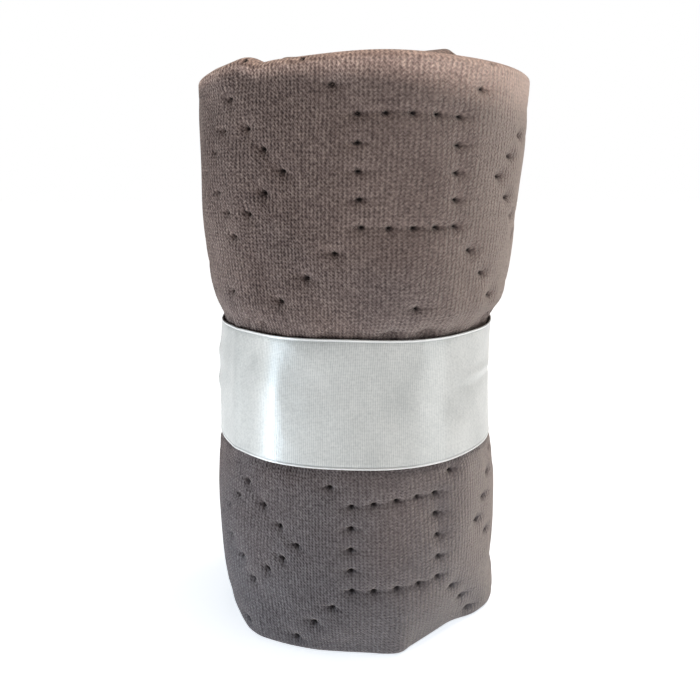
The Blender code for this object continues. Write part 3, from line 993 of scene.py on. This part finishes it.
def velour():
    """Short taupe pile over a fine knit on the cloth's own UV, with a mottled nap and dark sunk welds,
    painted cool and warm light by height, and a painted highlight along the upper fold.
    """
    n = Nodes("taupe_velour")
    place = n.add("TexCoord").outputs["Object"]
    uv = n.add("UVMap", {"uv_map": "cloth"}).outputs[0]
    split = n.add("SeparateXYZ", Vector=uv)
    u, v = split.outputs[0], split.outputs[1]
    wander = n.maths("MULTIPLY", n.noise(place, WALE_WANDER_SCALE), WALE_WANDER)
    wale_angle = n.maths("ADD", n.maths("MULTIPLY", u, 2 * np.pi * WALES_PER_METRE), wander)
    wale = n.maths("POWER", n.spread(n.maths("SINE", wale_angle), -1.0, 1.0), 0.7)
    # Each stitch is a V, as its height also swings with the wale: sin(2 pi C v + slant cos(wale) + wander).
    legs = n.maths("MULTIPLY", n.maths("COSINE", wale_angle), STITCH_SLANT)
    loose = n.maths("MULTIPLY", n.noise(place, STITCH_WANDER_SCALE), STITCH_WANDER)
    loose = n.maths("ADD", legs, loose)
    course_angle = n.maths("ADD", n.maths("MULTIPLY", v, 2 * np.pi * COURSES_PER_METRE), loose)
    stitch = n.spread(n.maths("SINE", course_angle), -1.0, 1.0)
    speck = n.spread(n.noise(place, SPECK_SCALE), 0.32, 0.68)
    nap = n.noise(place, NAP_SCALE)
    patch = n.noise(place, PATCH_SCALE, 3.0)
    clump = n.noise(place, CLUMP_SCALE)
    weld = n.add("Attribute", {"attribute_name": "weld"}).outputs["Fac"]
    where = n.add("SeparateXYZ", Vector=place)
    # The pile is combed flatter, with less contrast, towards the right and the foot.
    combed = n.spread(where.outputs[0], -0.05, 0.06, 1.0, 0.5)
    combed = n.maths("MULTIPLY", combed, n.spread(where.outputs[2], 0.04, 0.15, 0.65, 1.0))
    fine = n.weighted((wale, WALE_SHARE), (stitch, STITCH_SHARE), (speck, SPECK_SHARE))
    fine = n.maths("SUBTRACT", fine, FINE_MIDDLE)
    broad = n.weighted((nap, NAP_SHARE), (patch, PATCH_SHARE), (clump, CLUMP_SHARE))
    broad = n.maths("SUBTRACT", broad, BROAD_MIDDLE)
    tone = n.maths("ADD", n.maths("MULTIPLY", n.maths("ADD", fine, broad), combed), 0.5)
    colour = n.ramp(tone, VELOUR_TONES)
    # Painted light: cool towards the foot and warm towards the rim, by height, with its heights shifted by a
    # noise.
    shift = n.spread(n.noise(place, PAINTED_LIGHT_NOISE_SCALE), 0.3, 0.7, -PAINTED_LIGHT_SHIFT, PAINTED_LIGHT_SHIFT)
    light_tint_place = n.maths("ADD", where.outputs[2], shift)
    light_tint = n.ramp(n.spread(light_tint_place, 0.0, PAINTED_LIGHT_TOP), PAINTED_LIGHT_BY_HEIGHT)
    colour = n.tint(colour, light_tint)
    # A painted highlight lightens the upper fold.
    painted_rim_highlight = n.add("Attribute", {"attribute_name": "painted_rim_highlight"}).outputs["Fac"]
    colour = n.tint(colour, n.blend(painted_rim_highlight, (1, 1, 1, 1), PAINTED_RIM_HIGHLIGHT))
    colour = n.blend(n.spread(weld, 0.12, 0.75), colour, VELOUR_WELD)
    n.join(n.shader, "Base Color", colour)
    n.shader.inputs["Roughness"].default_value = 0.92
    n.shader.inputs["Specular IOR Level"].default_value = 0.2
    n.shader.inputs["Sheen Weight"].default_value = 0.6
    n.shader.inputs["Sheen Roughness"].default_value = 0.34
    n.shader.inputs["Sheen Tint"].default_value = (1.0, 0.88, 0.80, 1)
    raised = n.maths("ADD", fine, n.maths("MULTIPLY", n.maths("ADD", patch, clump), 0.5))
    normal = leaning_normal(n, PILE_LEAN)
    bump = n.add("Bump", Strength=0.7, Distance=0.8 * MM, Height=raised, Normal=normal)
    n.join(n.shader, "Normal", bump.outputs[0])
    return n.material


def satin():
    """White satin: a fine weave on the cloth's own UV, with a painted highlight on the raised selvedges and a
    painted shade line in the groove inside them.

    The floats of a satin ribbon run along it, so its gloss spreads across it: the lobe is turned a quarter.
    """
    n = Nodes("white_satin")
    place = n.add("TexCoord").outputs["Object"]
    uv = n.add("UVMap", {"uv_map": "cloth"}).outputs[0]
    split = n.add("SeparateXYZ", Vector=uv)
    wander = n.maths("MULTIPLY", n.noise(place, 160.0), 5.0)
    picks = n.maths("MULTIPLY", split.outputs[0], 2 * np.pi * PICKS_PER_METRE)
    across = n.maths("SINE", n.maths("ADD", picks, wander))
    along = n.maths("SINE", n.maths("MULTIPLY", split.outputs[1], 2 * np.pi * ENDS_PER_METRE))
    weave = n.spread(n.maths("ADD", across, n.maths("MULTIPLY", along, 0.6)), -1.6, 1.6)
    slub = n.noise(place, 950.0)
    cloud = n.spread(n.noise(place, 55.0, 3.0), 0.3, 0.7)
    selvedge = n.add("Attribute", {"attribute_name": "selvedge"}).outputs["Fac"]
    groove = n.add("Attribute", {"attribute_name": "groove"}).outputs["Fac"]
    thread = n.weighted((weave, 0.4), (slub, 0.6))
    shade = n.weighted((thread, 0.8), (cloud, 0.2))
    body = n.blend(n.spread(shade, 0.3, 0.7), SATIN_SHADE, SATIN_WHITE)
    # A painted highlight on the selvedges, and painted shade in the groove.
    edged = n.blend(selvedge, body, SATIN_SELVEDGE_HIGHLIGHT)
    n.join(n.shader, "Base Color", n.blend(groove, edged, SATIN_GROOVE_SHADE))
    n.join(n.shader, "Roughness", n.spread(slub, 0.3, 0.7, 0.35, 0.45))
    n.shader.inputs["Metallic"].default_value = 0.35
    n.shader.inputs["Specular IOR Level"].default_value = 0.5
    n.shader.inputs["Anisotropic"].default_value = 0.87
    n.shader.inputs["Anisotropic Rotation"].default_value = 0.25
    tangent = n.add("Tangent", {"direction_type": "UV_MAP", "uv_map": "cloth"})
    n.join(n.shader, "Tangent", tangent.outputs[0])
    soft = n.add("Bump", Strength=0.35, Distance=1.2 * MM, Height=n.noise(place, 75.0, 3.0))
    bump = n.add("Bump", Strength=0.45, Distance=0.12 * MM, Height=thread, Normal=soft.outputs[0])
    n.join(n.shader, "Normal", bump.outputs[0])
    return n.material


def floor():
    """A pale matt floor that isn't part of the object. It brightens outwards and runs into the white room."""
    corners = FLOOR_HALF * np.array([(-1, -1, 0), (1, -1, 0), (1, 1, 0), (-1, 1, 0)], dtype=float)
    ground = mesh_object("floor", corners, np.array([[0, 1, 2, 3]]))
    n = Nodes("pale_floor")
    place = n.add("TexCoord").outputs["Object"]
    away = n.add("VectorMath", {"operation": "LENGTH"})
    n.join(away, "n0", place)
    n.join(n.shader, "Base Color", n.blend(n.noise(place, 3.0), *FLOOR_TONES))
    far = n.spread(away.outputs["Value"], FLOOR_NEAR, FLOOR_FAR)
    n.join(n.shader, "Emission Color", n.blend(far, FLOOR_GLOW_NEAR, FLOOR_GLOW_FAR))
    n.join(n.shader, "Emission Strength", 1.0)
    n.shader.inputs["Roughness"].default_value = 0.9
    n.shader.inputs["Specular IOR Level"].default_value = 0.1
    ground.data.materials.append(n.material)


def camera():
    """The photograph's camera, level across, looking along +Y and a little down."""
    data = bpy.data.cameras.new("camera")
    data.lens = CAMERA_LENS_MM
    data.sensor_width = 36
    data.clip_start = 0.01
    eye = bpy.data.objects.new("camera", data)
    eye.location = CAMERA_PLACE
    eye.rotation_euler = (np.radians(90 - CAMERA_DOWN_DEG), 0, 0)
    bpy.context.scene.collection.objects.link(eye)
    bpy.context.scene.camera = eye


LIGHTS = (
    # name, place, aim, width, height, power, colour
    ("left_strip", (-0.990, -0.120, 0.24), (0, 0, 0.11), 0.10, 0.48, 0.80, (1.0, 1.0, 0.99)),
    ("left_low", (-0.285, -0.150, 0.03), (0, 0, 0.01), 0.08, 0.04, 0.24, (0.76, 0.89, 1.0)),
    ("right_wide", (0.92, -0.40, 0.35), (0, 0, 0.11), 0.34, 0.6, 1.2, (0.96, 0.99, 1.0)),
    ("right_high", (0.50, 0.30, 0.88), (0, 0, 0.17), 0.5, 0.5, 2.9, (1.0, 0.90, 0.80)),
    ("overhead", (0.15, 0.0, 1.0), (0, 0, 0.2), 0.9, 0.6, 4.8, (1.0, 0.92, 0.85)),
)


ROOM_GLOW = 0.03


def lights():
    """Soft studio panels, and a dim room round them that the camera sees as white."""
    for name, place, aim, width, height, power, colour in LIGHTS:
        data = bpy.data.lights.new(name, "AREA")
        data.shape = "RECTANGLE"
        data.size, data.size_y = width, height
        data.energy = power
        data.color = colour
        panel = bpy.data.objects.new(name, data)
        panel.location = place
        panel.rotation_euler = (Vector(aim) - Vector(place)).to_track_quat("-Z", "Y").to_euler()
        panel.visible_camera = False
        bpy.context.scene.collection.objects.link(panel)
    world = bpy.data.worlds.new("room")
    world.use_nodes = True
    nodes, links = world.node_tree.nodes, world.node_tree.links
    seen = nodes.new("ShaderNodeMapRange")
    seen.inputs["To Min"].default_value = ROOM_GLOW
    links.new(nodes.new("ShaderNodeLightPath").outputs["Is Camera Ray"], seen.inputs["Value"])
    links.new(seen.outputs[0], nodes["Background"].inputs["Strength"])
    nodes["Background"].inputs["Color"].default_value = (1, 1, 1, 1)
    bpy.context.scene.world = world
    bpy.context.scene.view_settings.view_transform = "Standard"


def main():
    camera()
    mat = build_mat()
    mat.data.materials.append(velour())
    ribbon = build_ribbon()
    ribbon.data.materials.append(satin())
    for piece, node, slot in ((mat, "mat_roll", "taupe_velour"), (ribbon, "ribbon_band", "white_satin")):
        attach(piece, "root")
        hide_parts(node)
    floor()
    lights()


main()
